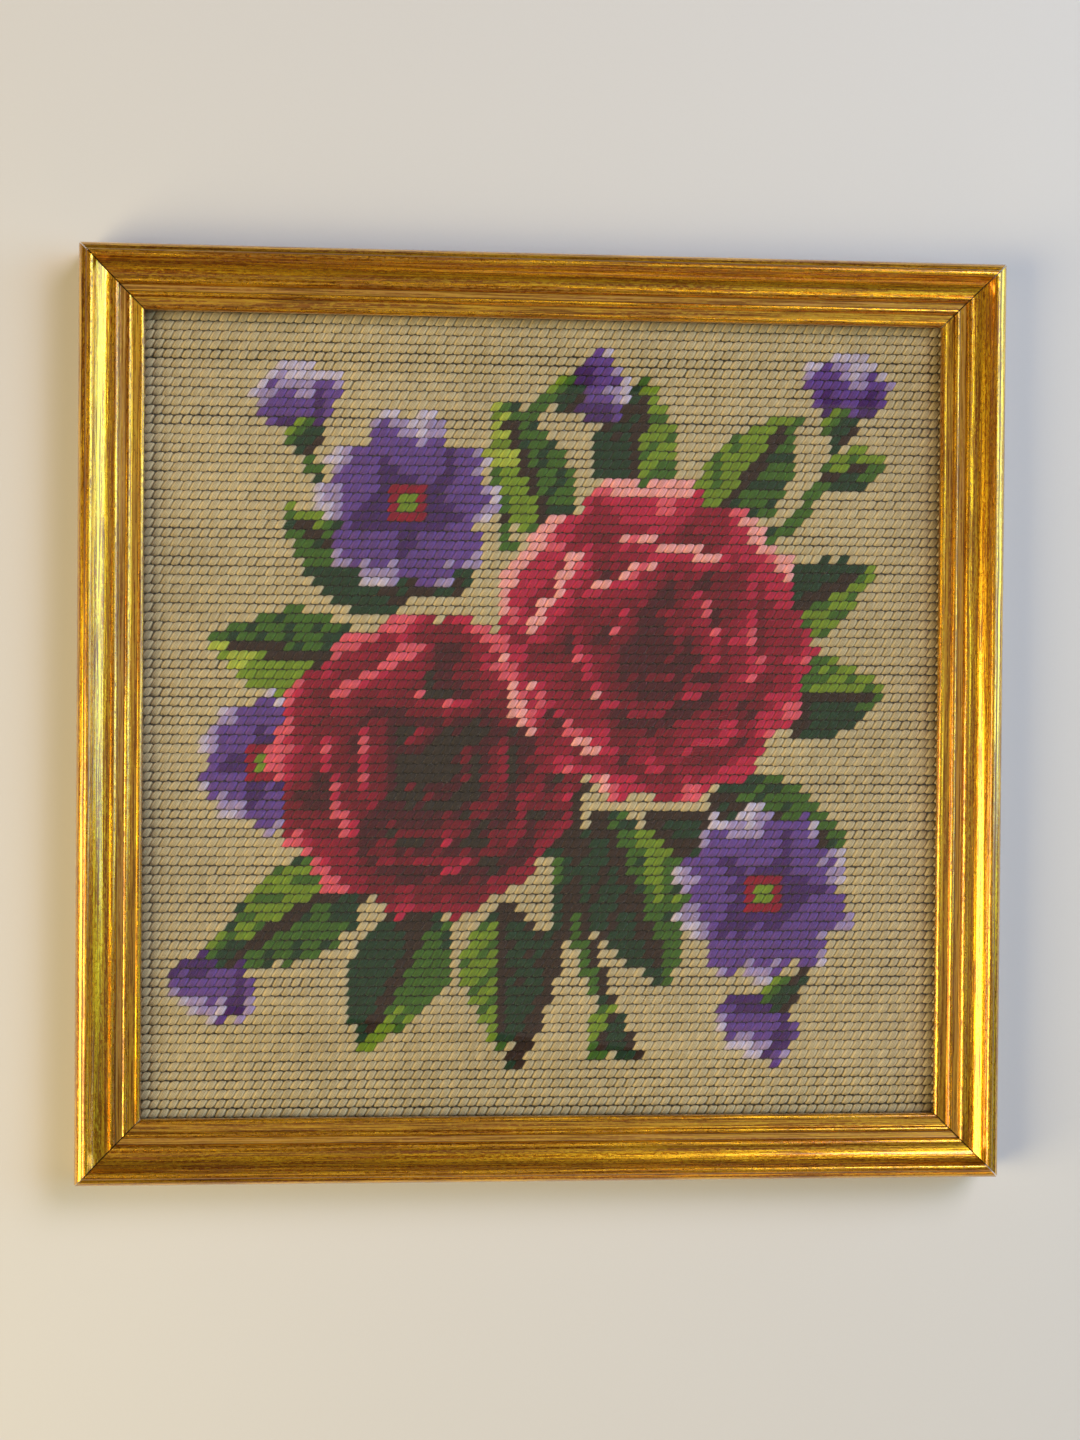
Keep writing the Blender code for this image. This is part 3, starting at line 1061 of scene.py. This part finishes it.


# Painted shade: deep in the gaps the wool's colour is darkened, from all but black to its full
# colour.
DARK_DEPTH = 4.20 * MM
LIT_DEPTH = 4.88 * MM
GAP_LIGHT = 0.03


def wool_yarn():
    """Shader group: plied wool yarn. Its plies wind along the stitch, with loose fibres."""
    tree = bpy.data.node_groups.new("wool_yarn", "ShaderNodeTree")
    face = tree.interface
    for label, kind, value in (
        ("Dye", "Color", (0.5, 0.5, 0.5, 1.0)),
        ("Strands", "Float", 3.0),
        ("Winding", "Float", 0.20),
        ("Unevenness", "Float", 0.16),
        ("Fuzz", "Float", 0.60),
        ("Fading", "Float", 0.35),
    ):
        socket = face.new_socket(label, in_out="INPUT", socket_type="NodeSocket" + kind)
        socket.default_value = value
    for label, kind in (("Colour", "Color"), ("Height", "Float"), ("Roughness", "Float")):
        face.new_socket(label, in_out="OUTPUT", socket_type="NodeSocket" + kind)
    given = add_node(tree, "NodeGroupInput").outputs
    along, around = read(tree, "yarn_along"), read(tree, "yarn_round")
    tone = read(tree, "stitch_tone")
    wound = sums(tree, "MULTIPLY_ADD", along, given["Winding"], sums(tree, "MULTIPLY", tone, 0.2))
    wound = sums(tree, "SUBTRACT", wound, 0.2)
    turns = sums(tree, "MULTIPLY_ADD", sums(tree, "SUBTRACT", around, 0.5), given["Strands"], wound)
    ply = sums(tree, "ABSOLUTE", sums(tree, "SINE", sums(tree, "MULTIPLY", turns, math.pi)))
    crown = sums(tree, "POWER", ply, 0.6)
    lie = vector(
        tree,
        X=sums(tree, "MULTIPLY", along, 5.0),
        Y=sums(tree, "MULTIPLY_ADD", around, 34.0, wound),
        Z=sums(tree, "MULTIPLY", tone, 90.0),
    )
    fibres = noise(tree, lie, 1.0, detail=2.0, roughness=0.6)
    where = add_node(tree, "ShaderNodeTexCoord").outputs["Object"]
    fading = noise(tree, where, 26.0, detail=2.0)
    value = 1.0
    for pattern, strength in ((tone, "Unevenness"), (fibres, "Fuzz"), (fading, "Fading")):
        swing = sums(tree, "SUBTRACT", pattern, 0.5)
        value = sums(tree, "MULTIPLY_ADD", swing, given[strength], value)
    # Painted shade in the grooves between the plies, and a little painted light on their crowns.
    value = sums(tree, "MULTIPLY", value, fade(tree, crown, 0.1, 0.85, 0.56, 1.07))
    # Painted shade: the dye darkens with depth into the gaps, from GAP_LIGHT at DARK_DEPTH to full
    # at LIT_DEPTH.
    depth = add_node(tree, "ShaderNodeSeparateXYZ", {0: where}).outputs["Z"]
    value = sums(
        tree, "MULTIPLY", value, fade(tree, depth, DARK_DEPTH, LIT_DEPTH, GAP_LIGHT, 1.0)
    )
    shade = vector(tree, X=value, Y=value, Z=value)
    dyed = blend(tree, 1.0, given["Dye"], shade, "MULTIPLY")
    height = sums(tree, "MULTIPLY_ADD", fibres, 0.4, crown)
    rough = fade(tree, fibres, 0.2, 0.8, 0.78, 0.95)
    add_node(tree, "NodeGroupOutput", {"Colour": dyed, "Height": height, "Roughness": rough})
    return tree


def linear(channel):
    """The amount of light behind a screen value of 0 to 255."""
    channel /= 255
    return channel / 12.92 if channel <= 0.04045 else ((channel + 0.055) / 1.055) ** 2.4


def dyed_wool(name, dye, yarn):
    """One dye lot of the yarn."""
    material, tree, shader = new_material(
        "wool_" + name, Sheen_Weight=0.07, Sheen_Roughness=0.4, Specular_IOR_Level=0.16
    )
    spun = add_node(tree, "ShaderNodeGroup", node_tree=yarn)
    spun.inputs["Dye"].default_value = (*(linear(c) for c in dye), 1.0)
    spun.inputs["Unevenness"].default_value = 0.14 if name == "ground" else 0.2
    wire(
        tree, shader, Base_Color=spun.outputs["Colour"], Roughness=spun.outputs["Roughness"],
        Normal=bumps(tree, spun.outputs["Height"], 0.00024, 0.85),
    )
    return material


def wool_at(i, j):
    """The wool that the chart gives a crossing."""
    if (i, j) not in chart:
        return "ground"
    ladder, tone = chart[i, j]
    rungs = LADDERS[ladder]
    return rungs[max(0, min(len(rungs) - 1, int(tone * len(rungs))))]


# Some rows are worked looser than others, and the ground looser than the flowers. No
# stitch sits quite in place. The ground is cut into three pieces, from the bottom up.
GROUND_PIECES = 3
PLACE_PLAY_MM = 0.06
FLOWER_SLACK = 0.35
WORKING_SEED = 17
SEEDS_APART = 40

draw_bouquet()
hand = random.Random(WORKING_SEED)
row_slack = [hand.uniform(0.0, 1.0) ** 2.0 for _row in range(STITCHES_ACROSS)]
lots = {}
for j in range(STITCHES_ACROSS):
    for i in range(STITCHES_ACROSS):
        wool = wool_at(i, j)
        lot = wool
        slack = row_slack[j] * FLOWER_SLACK
        if wool == "ground":
            lot = f"ground_{1 + j * GROUND_PIECES // STITCHES_ACROSS}"
            slack = row_slack[j]
        spot = (
            (i + 0.5 - HALF_CHART) * MESH_PITCH
            + hand.uniform(-PLACE_PLAY_MM, PLACE_PLAY_MM) * MM,
            (j + 0.5 - HALF_CHART) * MESH_PITCH
            + hand.uniform(-PLACE_PLAY_MM, PLACE_PLAY_MM) * MM,
            0.0,
        )
        lots.setdefault(lot, []).append((spot, slack))
spun_yarn = wool_yarn()
dyes = {name: dyed_wool(name, dye, spun_yarn) for name, dye in WOOLS.items()}
tent_stitches = stitch_tree()
for number, (lot, places) in enumerate(sorted(lots.items())):
    points = bpy.data.meshes.new(lot + "_places")
    points.from_pydata([spot for spot, _slack in places], [], [])
    slacks = points.attributes.new("row_slack", "FLOAT", "POINT")
    slacks.data.foreach_set("value", [slack for _spot, slack in places])
    stitches = made_by_tree(
        "stitches_" + lot, points, tent_stitches,
        Seed=SEEDS_APART * number, Wool=dyes[lot.split("_")[0]],
    )
    stitches.data.shade_smooth()
    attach(stitches, "root")
    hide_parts("needlepoint_canvas")
    bpy.data.meshes.remove(points)
